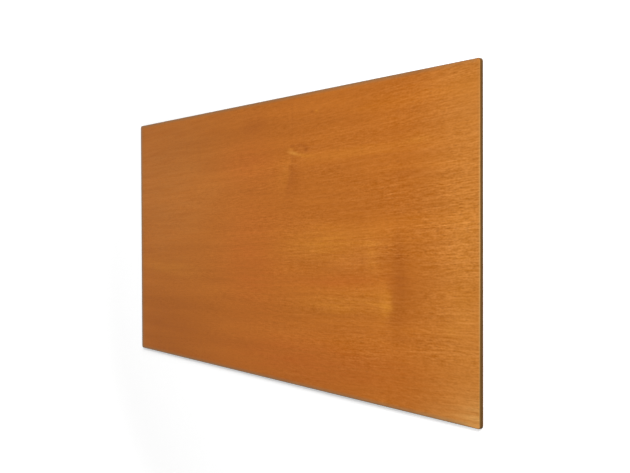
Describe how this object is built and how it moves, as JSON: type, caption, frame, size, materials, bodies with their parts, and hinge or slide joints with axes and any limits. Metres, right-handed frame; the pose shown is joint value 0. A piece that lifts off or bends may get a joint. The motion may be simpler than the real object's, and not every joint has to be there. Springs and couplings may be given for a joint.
{
  "type": "plywood sheet",
  "caption": "Flat rectangular sheet of stained, varnished plywood with small rounded corners and sanded edges, panel stock to be sawn, glued, pinned or framed.",
  "frame": {"origin": "middle of the back face, on the surface that the sheet lies on", "axes": "+X along the length and the face grain, +Y across the width, +Z out of the show face"},
  "size_m": [0.61, 0.305, 0.0032],
  "materials": {
    "stained_veneer": "orange-brown stained veneer under satin varnish, with darker stained edges"
  },
  "bodies": {
    "root": {"plywood_sheet": "stained_veneer"}
  },
  "joints": []
}
